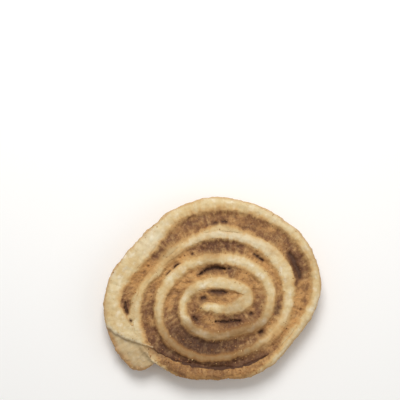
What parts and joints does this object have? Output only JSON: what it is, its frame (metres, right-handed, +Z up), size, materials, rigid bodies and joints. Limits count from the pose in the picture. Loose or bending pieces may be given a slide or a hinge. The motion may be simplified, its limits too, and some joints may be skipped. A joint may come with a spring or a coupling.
{
  "type": "cinnamon pinwheel pastry",
  "caption": "Baked slice of a flaky dough roll with cinnamon filling, lying flat: an uneven oval spiral of pale dough and brown filling that ends in a flattened tail at one side.",
  "frame": {"origin": "on the table, under the middle of the slice's bounding box", "axes": "+Z up out of the rolled face, +X towards the right of the face along its longest width, +Y towards the top of the face, away from the tail"},
  "size_m": [0.0862, 0.0722, 0.012],
  "materials": {
    "baked_dough": "matte",
    "cinnamon_filling": "matte"
  },
  "bodies": {
    "root": {"rolled_dough": "baked_dough", "cinnamon_filling": "cinnamon_filling"}
  },
  "joints": []
}
